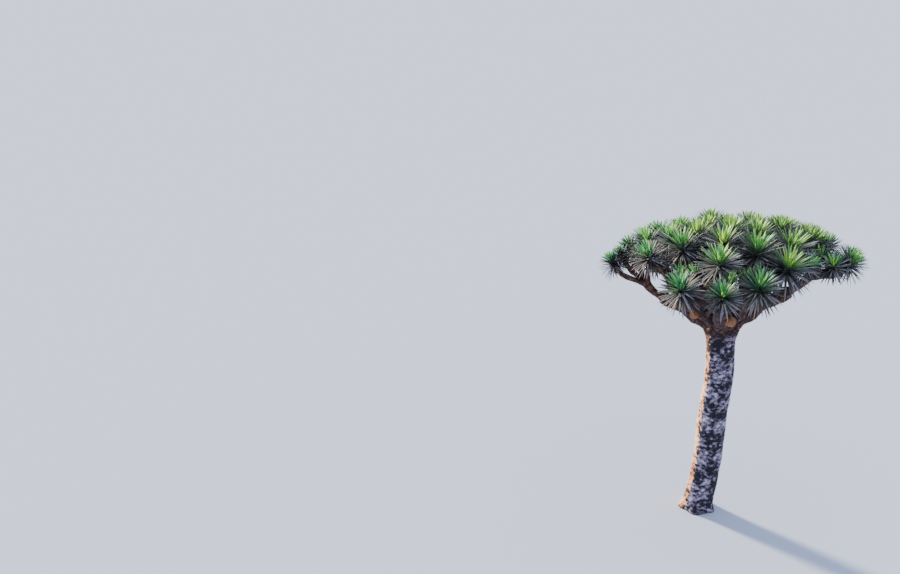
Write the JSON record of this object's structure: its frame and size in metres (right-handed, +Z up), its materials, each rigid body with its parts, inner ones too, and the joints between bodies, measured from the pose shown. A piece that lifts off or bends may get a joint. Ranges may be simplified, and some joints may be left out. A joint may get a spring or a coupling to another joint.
{
  "type": "dragon blood tree",
  "caption": "Dragon blood tree with a stout leaning trunk that forks into an umbrella of thick limbs, whose tips carry rosettes of stiff sword-shaped leaves.",
  "frame": {"origin": "middle of the flat cut under the trunk, at ground level", "axes": "+Z up, +X to the right and -Y towards the viewer in the picture"},
  "size_m": [4.0438, 4.1179, 5.2154],
  "materials": {
    "trunk_bark": "rough bark, mottled pale grey over dark brown",
    "bough_bark": "rough reddish-brown bark, tan where it is young",
    "leaves": "satin, stiff green blades, dark grey-green where old"
  },
  "bodies": {
    "root": {"trunk": "trunk_bark", "bough_back_left": "bough_bark", "bough_back_left_a": "bough_bark", "bough_back_left_b": "bough_bark", "bough_back_right": "bough_bark", "bough_back_right_a": "bough_bark", "bough_back_right_b": "bough_bark", "bough_front": "bough_bark", "bough_front_a": "bough_bark", "bough_front_b": "bough_bark", "bough_front_left": "bough_bark", "bough_front_left_a": "bough_bark", "bough_front_left_b": "bough_bark", "bough_front_right": "bough_bark", "bough_front_right_a": "bough_bark", "bough_front_right_b": "bough_bark", "bough_left": "bough_bark", "bough_left_a": "bough_bark", "bough_left_b": "bough_bark", "bough_right": "bough_bark", "bough_right_a": "bough_bark", "bough_right_b": "bough_bark", "rosettes_back_left_a1": "leaves", "rosettes_back_left_a2": "leaves", "rosettes_back_left_b1": "leaves", "rosettes_back_left_b2": "leaves", "rosettes_back_right_a1": "leaves", "rosettes_back_right_a2": "leaves", "rosettes_back_right_b1": "leaves", "rosettes_back_right_b2": "leaves", "rosettes_front_a1": "leaves", "rosettes_front_a2": "leaves", "rosettes_front_b1": "leaves", "rosettes_front_b2": "leaves", "rosettes_front_left_a": "leaves", "rosettes_front_left_b": "leaves", "rosettes_front_right_a": "leaves", "rosettes_front_right_b": "leaves", "rosettes_left_a1": "leaves", "rosettes_left_a2": "leaves", "rosettes_left_b1": "leaves", "rosettes_left_b2": "leaves", "rosettes_right_a1": "leaves", "rosettes_right_a2": "leaves", "rosettes_right_b1": "leaves", "rosettes_right_b2": "leaves"}
  },
  "joints": []
}
